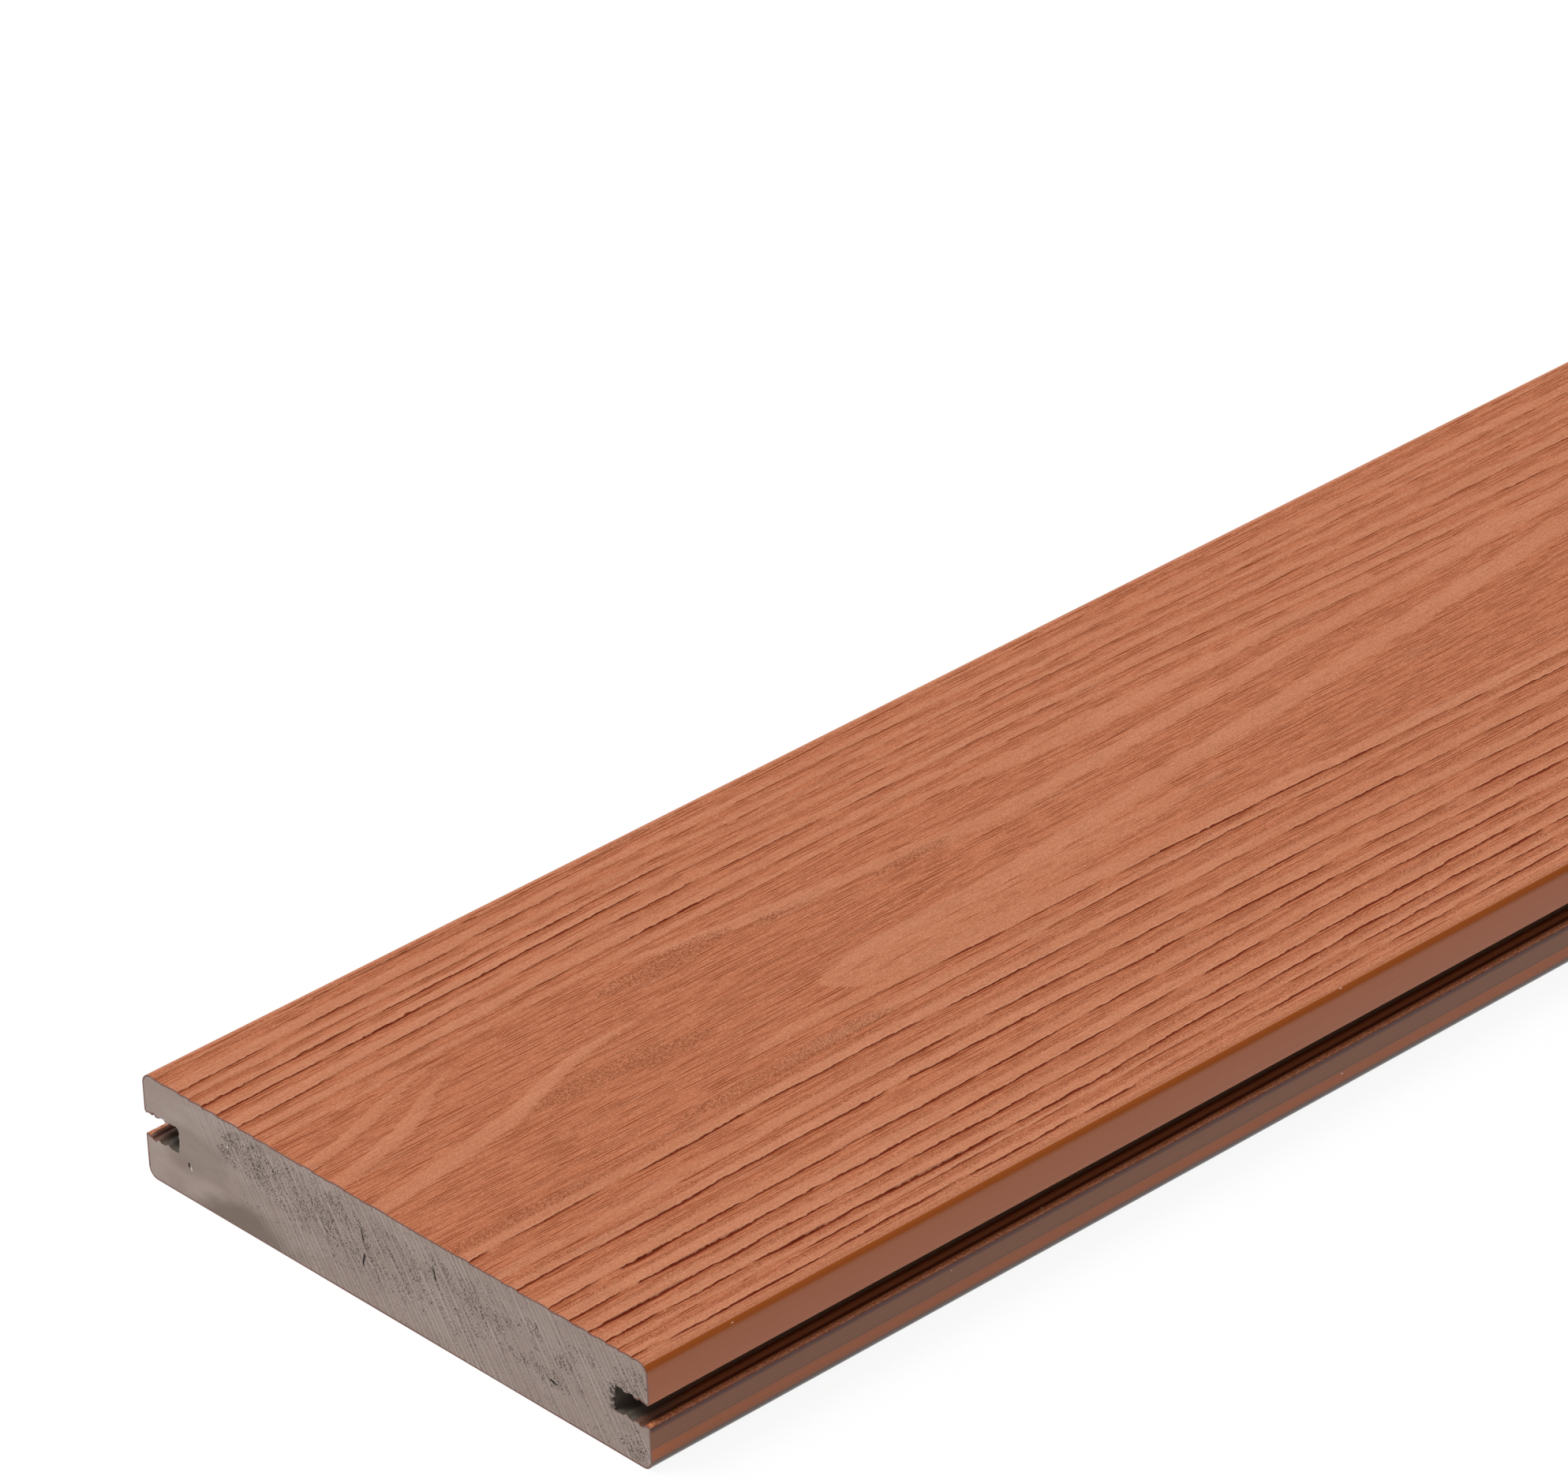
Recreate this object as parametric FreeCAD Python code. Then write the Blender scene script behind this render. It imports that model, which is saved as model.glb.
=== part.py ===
"""A grooved decking board: one length of capped foam profile, drawn as a section and extruded.

The board lies flat with its underside on Z = 0. X runs along its length, Y across its width, and the
origin is the middle of the underside. Both long edges have a groove for hidden deck clips. The groove
walls carry small ribs, and its mouth has a rounded bead above and below. Sizes are in millimetres.
"""

import FreeCAD
import Part

import os

Vector = FreeCAD.Vector

# Driving dimensions: the plank
LENGTH = 2440.0
WIDTH = 140.0
THICKNESS = 23.0
TOP_EDGE_RADIUS = 2.5
BOTTOM_EDGE_RADIUS = 2.3

# Driving dimensions: the clip groove in each long edge
LOWER_LIP_THICKNESS = 9.2
GROOVE_HEIGHT = 5.2
GROOVE_DEPTH = 9.5
GROOVE_CORNER_RADIUS = 0.5
UPPER_LIP_RADIUS = 0.9
LOWER_LIP_RADIUS = 0.6

# Driving dimensions: the grip ribs on the groove walls, and the bead that ends each wall at the mouth
RIB_HEIGHT = 0.5
RIB_WIDTH = 1.8
RIB_PITCH = 2.8
RIB_COUNT = 2
BEAD_LAND = 0.7
BEAD_TO_RIB_GAP = 0.1

# A quarter turn of a circle passes this share of its radius from the corner that it rounds
QUARTER_ARC_INSET = 1.0 - 0.5**0.5


class Outline:
    """A chain of lines and arcs in the Y-Z plane, drawn from point to point."""

    def __init__(self, y, z):
        self.at = Vector(0.0, y, z)
        self.edges = []

    def line_to(self, y, z):
        end = Vector(0.0, y, z)
        self.edges.append(Part.LineSegment(self.at, end).toShape())
        self.at = end

    def arc_to(self, middle_y, middle_z, y, z):
        middle = Vector(0.0, middle_y, middle_z)
        end = Vector(0.0, y, z)
        self.edges.append(Part.Arc(self.at, middle, end).toShape())
        self.at = end

    def round_corner(self, corner_y, corner_z, radius, way_in, way_out):
        """Runs up to a square corner and round it. The ways are unit steps (y, z) in and out of it."""
        in_y, in_z = way_in
        out_y, out_z = way_out
        self.line_to(corner_y - radius * in_y, corner_z - radius * in_z)
        inset = radius * QUARTER_ARC_INSET
        self.arc_to(
            corner_y + inset * (out_y - in_y),
            corner_z + inset * (out_z - in_z),
            corner_y + radius * out_y,
            corner_z + radius * out_z,
        )


def rib_arc_point(height, width):
    """A rib is an arc of this height over a chord of this width. Returns how far out from the rib's
    middle, and how high, the point half-way from its top to its foot lies."""
    half = width / 2.0
    radius = (half * half + height * height) / (2.0 * height)
    out = half / 2.0
    return out, height - radius + (radius * radius - out * out) ** 0.5


def rib_depths():
    """Distances of the ribs' middles from the board's edge, the first set clear of the deeper bead."""
    bead_depth = max(UPPER_LIP_RADIUS, LOWER_LIP_RADIUS) + BEAD_LAND + RIB_WIDTH / 2.0
    first = bead_depth + BEAD_TO_RIB_GAP + RIB_WIDTH / 2.0
    return [first + index * RIB_PITCH for index in range(RIB_COUNT)]


def draw_groove(outline, edge_y):
    """The groove of the +Y edge: in along the lower wall, up the back, and out along the upper wall."""
    floor_z = LOWER_LIP_THICKNESS
    roof_z = LOWER_LIP_THICKNESS + GROOVE_HEIGHT
    back_y = edge_y - GROOVE_DEPTH
    half_rib = RIB_WIDTH / 2.0
    shoulder_out, shoulder_up = rib_arc_point(RIB_HEIGHT, RIB_WIDTH)

    # Lower bead, from the side face over its land and down to the lower wall
    bead_y = edge_y - LOWER_LIP_RADIUS - BEAD_LAND
    outline.round_corner(edge_y, floor_z + RIB_HEIGHT, LOWER_LIP_RADIUS, (0, 1), (-1, 0))
    outline.line_to(bead_y, floor_z + RIB_HEIGHT)
    outline.arc_to(bead_y - shoulder_out, floor_z + shoulder_up, bead_y - half_rib, floor_z)

    # Ribs of the lower wall, then the square back of the groove
    for depth in rib_depths():
        middle_y = edge_y - depth
        outline.line_to(middle_y + half_rib, floor_z)
        outline.arc_to(middle_y, floor_z + RIB_HEIGHT, middle_y - half_rib, floor_z)
    outline.round_corner(back_y, floor_z, GROOVE_CORNER_RADIUS, (-1, 0), (0, 1))
    outline.round_corner(back_y, roof_z, GROOVE_CORNER_RADIUS, (0, 1), (1, 0))

    # Ribs of the upper wall, on the way out
    for depth in reversed(rib_depths()):
        middle_y = edge_y - depth
        outline.line_to(middle_y - half_rib, roof_z)
        outline.arc_to(middle_y, roof_z - RIB_HEIGHT, middle_y + half_rib, roof_z)

    # Upper bead, over its land and round the lip to the side face
    bead_y = edge_y - UPPER_LIP_RADIUS - BEAD_LAND
    outline.line_to(bead_y - half_rib, roof_z)
    outline.arc_to(bead_y - shoulder_out, roof_z - shoulder_up, bead_y, roof_z - RIB_HEIGHT)
    outline.round_corner(edge_y, roof_z - RIB_HEIGHT, UPPER_LIP_RADIUS, (1, 0), (0, 1))


def half_section():
    """Edges of the +Y half of the section, from the middle of the underside to the middle of the top."""
    edge_y = WIDTH / 2.0
    outline = Outline(0.0, 0.0)
    outline.round_corner(edge_y, 0.0, BOTTOM_EDGE_RADIUS, (1, 0), (0, 1))
    draw_groove(outline, edge_y)
    outline.round_corner(edge_y, THICKNESS, TOP_EDGE_RADIUS, (0, 1), (-1, 0))
    outline.line_to(0.0, THICKNESS)
    return outline.edges


def decking_board():
    """The whole section, mirrored about the middle of the board, extruded along the length."""
    right_half = Part.Wire(half_section())
    left_half = right_half.mirror(Vector(0, 0, 0), Vector(0, 1, 0))
    section = Part.Wire(Part.__sortEdges__(right_half.Edges + left_half.Edges))
    section.translate(Vector(-LENGTH / 2.0, 0, 0))
    return Part.Face(section).extrude(Vector(LENGTH, 0, 0)).removeSplitter()


def main():
    os.makedirs("parts", exist_ok=True)
    decking_board().exportStep("parts/decking_board.step")


main()
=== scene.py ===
"""Looks of the grooved decking board: its embossed grain, smooth cap, sawn foam ends and studio."""

import math

import bpy
import numpy as np
from mathutils import Matrix, Vector


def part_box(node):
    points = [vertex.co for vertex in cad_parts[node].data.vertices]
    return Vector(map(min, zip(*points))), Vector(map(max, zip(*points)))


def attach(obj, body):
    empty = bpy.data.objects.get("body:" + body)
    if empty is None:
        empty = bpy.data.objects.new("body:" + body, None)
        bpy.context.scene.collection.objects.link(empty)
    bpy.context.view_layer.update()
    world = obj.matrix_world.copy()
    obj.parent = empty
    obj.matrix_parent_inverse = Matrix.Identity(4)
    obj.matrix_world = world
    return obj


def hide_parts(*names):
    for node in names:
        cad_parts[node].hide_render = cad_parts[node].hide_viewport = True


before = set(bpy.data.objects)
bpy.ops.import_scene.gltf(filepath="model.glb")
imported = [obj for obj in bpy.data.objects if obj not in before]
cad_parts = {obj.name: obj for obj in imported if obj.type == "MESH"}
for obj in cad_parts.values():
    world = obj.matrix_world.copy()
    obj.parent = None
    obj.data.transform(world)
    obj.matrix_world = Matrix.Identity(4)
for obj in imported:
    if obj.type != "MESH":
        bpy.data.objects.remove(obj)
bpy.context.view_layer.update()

MM = 0.001
NODE = "decking_board"

# The board, in millimetres. Its length, width and thickness come from the frame.
low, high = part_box(NODE)
LENGTH, WIDTH, THICKNESS = (high - low) / MM
HALF_WIDTH = WIDTH / 2.0
TOP_EDGE_RADIUS = 2.5
BOTTOM_EDGE_RADIUS = 2.3

# The clip groove in each long edge
LOWER_LIP_THICKNESS = 9.2
GROOVE_HEIGHT = 5.2
GROOVE_DEPTH = 9.5
GROOVE_CORNER_RADIUS = 0.5
UPPER_LIP_RADIUS = 0.9
LOWER_LIP_RADIUS = 0.6
RIB_HEIGHT = 0.5
RIB_WIDTH = 1.8
RIB_DEPTHS = (3.5, 6.3)
BEAD_LAND = 0.7
GROOVE_ROOF = LOWER_LIP_THICKNESS + GROOVE_HEIGHT

# The top's edges are drawn in this many steps, of which the grain runs over the first few, with these marks
EDGE_STEPS = 9
GRAINED_STEPS = 4
SHOULDER_MARKS = {"ring": 0.5, "span": 2.0, "stroke": 0.0, "raised": 0.85, "dots": 0.0}

# Embossed grain: depths of the brushed bands and of the grooves between rings, and their widths
RECESS_DEPTH = 0.21
RING_GROOVE_DEPTH = 0.38
GROOVE_WALL = 0.3
RIDGE_SHARE = 0.52
RIDGE_WIDTH = 3.3
RIDGE_WEAR = 0.28
EDGE_FADE = 0.8
RING_DOTS = 0.5
DOTTED_PAST = 82.0

# Where a ring's parts fade: its ridge and its dotted strip, by distance from the ridge's foot, the floor of
# its groove, by distance from the ring line, and the whole ring, by its strength
RIDGE_FALL = (-1.0, 0.8)
STRIP_RISE = (-1.2, -0.2)
STRIP_FALL = (0.8, 2.2)
FLOOR_RISE = (0.3, 1.3)
LEAST_STRENGTH = (0.02, 0.15)

# The grooves are broken into overlapping strokes. Ranges of their length, width and overlap, how far they
# step aside from the ring line, lean over their length and waver, how blunt their ends are, the width that
# is cut to full depth, and the least distance between ring lines, with the one below which columns close up
STROKE_LENGTHS = (12.0, 42.0)
STROKE_WIDTHS = (0.24, 0.78)
STROKE_OVERLAPS = (-4.0, 8.0)
STROKE_STEP = 0.14
STROKE_LEAN = 0.3
STROKE_JITTER = 0.04
STROKE_TAPER = 0.6
FULL_STROKE = 0.6
LEAST_SPAN = 0.8
TIGHT_SPAN = 2.0

# Ring lines: where the grooves run, as distances from the +Y edge at these stations along the board,
# and how strong each groove is at the near end and further along. They wander by a little.
STATIONS = (0.0, 100.0, 200.0, 300.0, 400.0)
RING_LINES = (
    ((4.0, 3.4, 4.0, 4.2, 4.6), 0.25, 0.15),
    ((10.6, 8.2, 8.9, 10.2, 11.0), 0.45, 0.2),
    ((13.8, 12.6, 12.9, 13.8, 14.2), 0.2, 0.15),
    ((17.2, 15.4, 16.2, 17.2, 18.4), 0.65, 0.2),
    ((21.6, 19.4, 19.9, 23.0, 25.0), 0.75, 0.22),
    ((27.8, 23.8, 25.0, 29.0, 31.5), 0.6, 0.24),
    ((32.2, 30.4, 29.4, 33.2, 36.2), 0.5, 0.2),
    ((36.6, 34.4, 34.3, 38.0, 41.2), 0.1, 0.2),
    ((78.5, 78.8, 80.8, 84.2, 88.0), 0.0, 0.4),
    ((86.4, 85.6, 84.4, 87.6, 91.2), 0.0, 0.35),
    ((92.4, 91.0, 92.7, 95.2, 98.2), 0.9, 0.5),
    ((101.2, 99.0, 99.7, 102.2, 105.0), 0.1, 0.55),
    ((105.4, 104.4, 106.4, 109.0, 111.6), 1.0, 0.7),
    ((113.6, 113.0, 111.3, 113.0, 115.4), 0.9, 0.65),
    ((119.4, 119.3, 116.7, 118.0, 119.6), 1.0, 0.6),
    ((124.4, 124.8, 122.6, 122.6, 123.6), 1.0, 0.6),
    ((128.8, 129.8, 127.4, 127.2, 128.0), 1.0, 0.65),
    ((132.4, 132.6, 131.0, 130.8, 131.6), 0.3, 0.4),
    ((136.2, 136.3, 134.9, 134.2, 134.6), 0.6, 0.45),
)
STRENGTH_CHANGE = (60.0, 140.0)
RING_WANDER = 0.14
WANDER_LENGTHS = (23.0, 41.0, 67.0)

# Cathedral ridges of the middle: how smooth each is, then its points, as distance along, distance from the
# +Y edge and half width
RIDGES = (
    (1.0, (-8.0, 49.0, 1.2), (10.0, 45.6, 1.3), (20.0, 42.6, 1.4), (26.0, 40.2, 1.2), (31.0, 38.8, 0.8),
     (39.0, 37.6, 0.2)),
    (1.0, (-8.0, 57.4, 1.5), (10.0, 53.8, 1.6), (20.0, 50.8, 1.7), (28.0, 47.0, 1.5), (33.0, 44.0, 1.1),
     (40.0, 40.8, 0.2)),
    (1.0, (-8.0, 68.6, 1.9), (20.0, 64.8, 1.9), (38.0, 61.6, 1.8), (50.0, 57.4, 1.6), (58.0, 55.0, 1.4),
     (66.0, 53.8, 0.9), (78.0, 52.6, 0.2)),
    (0.58, (114.0, 69.6, 2.6), (128.0, 70.6, 4.2), (146.0, 70.8, 4.8), (170.0, 70.0, 4.0),
     (215.0, 67.6, 1.0)),
    (0.75, (110.0, 69.0, 2.2), (122.0, 66.0, 2.0), (160.0, 64.8, 2.2), (180.0, 63.4, 2.5),
     (200.0, 61.0, 2.6), (240.0, 57.6, 2.6), (300.0, 51.4, 2.6), (340.0, 47.0, 2.6), (410.0, 41.0, 2.6)),
    (0.85, (110.0, 69.0, 2.2), (114.0, 73.0, 1.8), (121.0, 75.8, 1.6), (150.0, 76.6, 1.6),
     (230.0, 79.6, 1.6)),
    (0.75, (88.0, 36.5, 1.0), (112.0, 41.2, 1.8), (130.0, 43.2, 1.8), (150.0, 45.4, 1.9),
     (172.0, 48.4, 2.4), (200.0, 47.0, 2.2), (240.0, 44.6, 2.0), (300.0, 41.0, 2.0), (410.0, 36.0, 2.0)),
    (0.75, (168.0, 32.4, 0.8), (190.0, 35.4, 2.0), (212.0, 36.8, 2.2), (250.0, 35.6, 1.8),
     (290.0, 34.6, 0.8)),
)

# A drawn ridge fades out between these shares of its half width, and a patch of dots of its size
RIDGE_EDGE = (0.6, 1.6)
PATCH_EDGE = (0.5, 1.1)

# Patches of fine dots beside the ridges: centre along and across, half length, half width
DOT_PATCHES = (
    (93.0, 41.6, 21.0, 3.2),
    (58.0, 62.6, 20.0, 3.2),
    (74.0, 65.6, 12.0, 2.4),
    (117.0, 44.0, 5.0, 1.4),
    (152.0, 47.4, 12.0, 1.6),
    (16.0, 87.6, 24.0, 1.8),
    (84.0, 84.6, 36.0, 2.2),
)

# The pattern is stretched and mirrored along the rest of the board, turning back at these distances
PATTERN_TURNS = (0.0, 400.0, 850.0, 1320.0, 1740.0, 2160.0, 2600.0)
PATTERN_LENGTH = STATIONS[-1]

# Rows of the mesh along the board, those of the smooth sides being a part of those of the top
NEAR_LENGTH = 400.0
NEAR_STEP = 1.6
FAR_STEP = 25.0
SIDE_STRIDE = 16
SAW_ROWS = (0.0, 0.35, 0.8, 1.4)

# Columns of the mesh across the top: those past each ring line, the first and last between two, their step,
# and the number of columns across the underside
FOOT_COLUMNS = (0.0, 0.3, 0.65)
FIRST_INNER = 1.0
LAST_INNER = 0.5
COLUMN_STEP = 0.85
UNDERSIDE_COLUMNS = 8
SHARP_ANGLE = math.radians(48.0)

# The cap on the sawn ends: its thickness and how that varies, and how far into the grooves it reaches
CAP_THICKNESS = 0.4
CAP_SPREAD = (0.75, 1.15)
CAP_REACH = 5.0
CAP_FADE = 2.0

# The saw's bites: their size, points to a bite, where in the groove they start and how far they run along
# the board. The burrs: their size, spread and depth in the groove
CHIP_SIZE = 0.5
CHIP_RUN = 3
CHIP_START = (0.15, 0.8)
CHIP_ROW_SHARE = (1.0, 0.7, 0.3, 0.0)
BURR_SIZE = 1.3
BURR_SPREAD = (-1.0, 0.4)
BURR_DEPTHS = (9.2, 9.45)
SLACK = 0.01

# Camera, from the photograph's own 1987 by 1876 frame
IMAGE_SIZE = (1987.0, 1876.0)
FOCAL_PIXELS = 12517.7
VIEW_AZIMUTH = math.radians(-41.449)
VIEW_ELEVATION = math.radians(30.338)
VIEW_ROLL = math.radians(-2.536)
VIEW_DISTANCE = 1739.8
CORNER_PIXEL = (819.7, 1730.75)
SENSOR_WIDTH = 36.0
CAMERA_REACH = 100.0

# Seeds of the random draws. Each ring line adds its number to the first three.
STROKE_SEED = 7
WANDER_SEED = 57
JITTER_SEED = 157
NEAR_END_SEED = 97
FAR_END_SEED = 98
CAP_SEED = 127


def smoothstep(low_edge, high_edge, value):
    t = np.clip((value - low_edge) / (high_edge - low_edge), 0.0, 1.0)
    return t * t * (3.0 - 2.0 * t)


def waves(values, lengths, seed):
    """A smooth wandering value from about -1 to 1, the same each run: a sum of sines."""
    rng = np.random.default_rng(seed)
    total = np.zeros_like(values)
    for length in lengths:
        total += np.sin(values * (2.0 * math.pi / length) + rng.uniform(0.0, 2.0 * math.pi))
    return total / len(lengths)


def pattern_place(along):
    """Where along the drawn pattern a distance along the board lies."""
    ends = [PATTERN_LENGTH * (index % 2) for index in range(len(PATTERN_TURNS))]
    return np.interp(along, PATTERN_TURNS, ends)


def arc_points(centre, radius, start, end, steps):
    """Points of an arc, without its first, at angles in degrees."""
    angles = np.radians(np.linspace(start, end, steps + 1)[1:])
    return [(centre[0] + radius * math.cos(a), centre[1] + radius * math.sin(a)) for a in angles]


def rib_points(middle_y, wall_z, way_z, way_y, part=(-1.0, 1.0), steps=6):
    """Points over a rib that stands on a wall, without its first. part is the share of it to draw."""
    half = RIB_WIDTH / 2.0
    radius = (half * half + RIB_HEIGHT * RIB_HEIGHT) / (2.0 * RIB_HEIGHT)
    points = []
    for share in np.linspace(part[0], part[1], steps + 1)[1:]:
        out = share * half
        rise = RIB_HEIGHT - radius + math.sqrt(radius * radius - out * out)
        points.append((middle_y + way_y * out, wall_z + way_z * rise))
    return points


def side_profile():
    """The -Y edge below the top's flat, down to the start of the underside's flat, as (y, z)."""
    edge = -HALF_WIDTH
    roof = GROOVE_ROOF
    floor = LOWER_LIP_THICKNESS
    back = edge + GROOVE_DEPTH
    half_rib = RIB_WIDTH / 2.0
    top_centre = (edge + TOP_EDGE_RADIUS, THICKNESS - TOP_EDGE_RADIUS)
    points = arc_points(top_centre, TOP_EDGE_RADIUS, 90, 180, EDGE_STEPS)

    # Upper lip and bead
    lip_z = roof - RIB_HEIGHT
    points.append((edge, lip_z + UPPER_LIP_RADIUS))
    points += arc_points((edge + UPPER_LIP_RADIUS, lip_z + UPPER_LIP_RADIUS), UPPER_LIP_RADIUS, 180, 270, 5)
    bead = edge + UPPER_LIP_RADIUS + BEAD_LAND
    points.append((bead, lip_z))
    points += rib_points(bead, roof, -1, 1, (0.0, 1.0), 3)

    # Roof, back and floor of the groove
    for depth in RIB_DEPTHS:
        points.append((edge + depth - half_rib, roof))
        points += rib_points(edge + depth, roof, -1, 1)
    corner = GROOVE_CORNER_RADIUS
    points += [(back - 2.0 * corner, roof), (back - corner, roof)]
    points += arc_points((back - corner, roof - corner), corner, 90, 0, 2)
    points += [(back, roof - GROOVE_HEIGHT * share) for share in np.linspace(0.2, 0.8, 7)]
    points.append((back, floor + corner))
    points += arc_points((back - corner, floor + corner), corner, 0, -90, 2)
    points.append((back - 2.0 * corner, floor))
    for depth in reversed(RIB_DEPTHS):
        points.append((edge + depth + half_rib, floor))
        points += rib_points(edge + depth, floor, 1, -1)

    # Lower bead and lip, down to the underside
    bead = edge + LOWER_LIP_RADIUS + BEAD_LAND
    points.append((bead + half_rib, floor))
    points += rib_points(bead, floor, 1, -1, (-1.0, 0.0), 4)
    lip_z = floor + RIB_HEIGHT
    points.append((edge + LOWER_LIP_RADIUS, lip_z))
    points += arc_points((edge + LOWER_LIP_RADIUS, lip_z - LOWER_LIP_RADIUS), LOWER_LIP_RADIUS, 90, 180, 4)
    points.append((edge, BOTTOM_EDGE_RADIUS))
    bottom_centre = (edge + BOTTOM_EDGE_RADIUS, BOTTOM_EDGE_RADIUS)
    points += arc_points(bottom_centre, BOTTOM_EDGE_RADIUS, 180, 270, 8)
    return np.array(points)


def row_places():
    """Distances of the top's rows from the near end: close together there, wide apart beyond."""
    near = np.arange(SAW_ROWS[-1] + NEAR_STEP, NEAR_LENGTH, NEAR_STEP)
    count = int(math.ceil((LENGTH - NEAR_LENGTH) / FAR_STEP))
    far = np.linspace(NEAR_LENGTH, LENGTH - SAW_ROWS[-1], count)
    last = [LENGTH - place for place in reversed(SAW_ROWS[:-1])]
    return np.concatenate([SAW_ROWS, near, far, last])


def side_rows(row_count):
    """Which of the top's rows the smooth sides have too."""
    ends = len(SAW_ROWS)
    middle = range(ends - 1 + SIDE_STRIDE, row_count - ends, SIDE_STRIDE)
    return [*range(ends), *middle, *range(row_count - ends, row_count)]


def strokes(along, seed):
    """The broken groove of one ring line: how far its strokes step aside, and their widths."""
    rng = np.random.default_rng(seed)
    aside = np.zeros_like(along)
    width = np.zeros_like(along)
    start = -rng.uniform(0.0, STROKE_LENGTHS[1])
    while start < LENGTH:
        length = rng.uniform(*STROKE_LENGTHS)
        share = np.clip((along - start) / length, 0.0, 1.0)
        swell = np.sin(math.pi * share) ** STROKE_TAPER * rng.uniform(*STROKE_WIDTHS)
        step = rng.normal(0.0, STROKE_STEP) + rng.uniform(-STROKE_LEAN, STROKE_LEAN) * (share - 0.5)
        aside = np.where(swell > width, step, aside)
        width = np.maximum(width, swell)
        start += length - rng.uniform(*STROKE_OVERLAPS)
    return aside, width


class Grain:
    """The embossed top: a grid whose columns follow the ring lines, with its relief and its marks."""

    def __init__(self, along):
        place = pattern_place(along)
        change = smoothstep(*STRENGTH_CHANGE, place)
        nothing = np.zeros_like(along)
        lines = [nothing + TOP_EDGE_RADIUS]
        widths = [nothing]
        strengths = [nothing]
        for index, (offsets, near_strength, far_strength) in enumerate(RING_LINES):
            aside, width = strokes(along, STROKE_SEED + index)
            wander = waves(along, WANDER_LENGTHS, WANDER_SEED + index)
            jitter = np.random.default_rng(JITTER_SEED + index).normal(0.0, STROKE_JITTER, len(along))
            strength = near_strength + (far_strength - near_strength) * change
            line = np.interp(place, STATIONS, offsets) + RING_WANDER * wander + aside + jitter
            lines.append(np.clip(line, lines[-1] + LEAST_SPAN, WIDTH - TOP_EDGE_RADIUS - LEAST_SPAN))
            widths.append(width * strength)
            strengths.append(strength)
        lines.append(nothing + WIDTH - TOP_EDGE_RADIUS)
        widths.append(nothing)
        strengths.append(nothing + 0.5)
        self.lay_columns(lines, widths, strengths)
        x = np.repeat(place[:, None], self.across.shape[1], axis=1)
        self.dots = np.maximum(self.dot_patches(x), self.ring_dots())
        ridge_wear_and_bead_light = 1.0 - RIDGE_WEAR * change[:, None]
        self.raised = np.maximum(self.ring_ridges() * ridge_wear_and_bead_light, self.cathedral(x))
        self.relief = self.relief_depth()

    def lay_columns(self, lines, widths, strengths):
        """Columns at set distances past each ring line and before the next, and evenly in between."""
        names = ("across", "past", "span", "ring", "stroke", "presence")
        columns = {name: [] for name in names}

        def add(ring, past, stroke):
            start = lines[ring]
            span = lines[min(ring + 1, len(lines) - 1)] - start
            span = np.maximum(span, LEAST_SPAN)
            presence = smoothstep(*LEAST_STRENGTH, strengths[min(ring + 1, len(lines) - 1)])
            values = (start + past, past + 0.0 * start, span, ring + past / span, stroke, presence)
            for name, value in zip(names, values):
                columns[name].append(value)

        for ring in range(len(lines) - 1):
            span = lines[ring + 1] - lines[ring]
            squeeze = np.minimum(1.0, span / TIGHT_SPAN)
            inner = span - (FIRST_INNER + LAST_INNER) * squeeze
            count = int(max(1, round(float(inner.mean()) / COLUMN_STEP)))
            for past in FOOT_COLUMNS:
                add(ring, past * squeeze, widths[ring])
            for step in range(count):
                share = step / count
                add(ring, FIRST_INNER * squeeze + inner * share, widths[ring if share < 0.5 else ring + 1])
            for left in (LAST_INNER, GROOVE_WALL):
                add(ring, span - left * squeeze, widths[ring + 1])
        add(len(lines) - 1, 0.0, widths[-1])
        for name in names:
            setattr(self, name, np.stack(columns[name], axis=1))

    def before_ridge(self):
        """Distance to the foot of the next groove's ridge, less than nothing on the ridge."""
        return self.span - self.past - np.minimum(RIDGE_WIDTH, RIDGE_SHARE * self.span)

    def ring_ridges(self):
        """The smooth ridge before each groove, from 0 to 1."""
        return self.presence * (1.0 - smoothstep(*RIDGE_FALL, self.before_ridge()))

    def ring_dots(self):
        """The dotted strip before each ridge of the right part, from 0 to 1."""
        before = self.before_ridge()
        strip = smoothstep(*STRIP_RISE, before) * (1.0 - smoothstep(*STRIP_FALL, before))
        return RING_DOTS * self.presence * strip * (self.across > DOTTED_PAST)

    def cathedral(self, x):
        """The drawn ridges of the middle, from 0 to 1."""
        best = np.zeros_like(self.across)
        for smooth, *points in RIDGES:
            for (x0, y0, w0), (x1, y1, w1) in zip(points, points[1:]):
                run, rise = x1 - x0, y1 - y0
                t = ((x - x0) * run + (self.across - y0) * rise) / (run * run + rise * rise)
                t = np.clip(t, 0.0, 1.0)
                gap = np.hypot(x - x0 - t * run, self.across - y0 - t * rise)
                ridge = 1.0 - smoothstep(*RIDGE_EDGE, gap / (w0 + (w1 - w0) * t))
                best = np.maximum(best, smooth * ridge)
        return best

    def dot_patches(self, x):
        """The drawn patches of dots, from 0 to 1."""
        best = np.zeros_like(self.across)
        for centre_x, centre_y, half_x, half_y in DOT_PATCHES:
            gap = np.hypot((x - centre_x) / half_x, (self.across - centre_y) / half_y)
            best = np.maximum(best, 1.0 - smoothstep(*PATCH_EDGE, gap))
        return best

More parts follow.
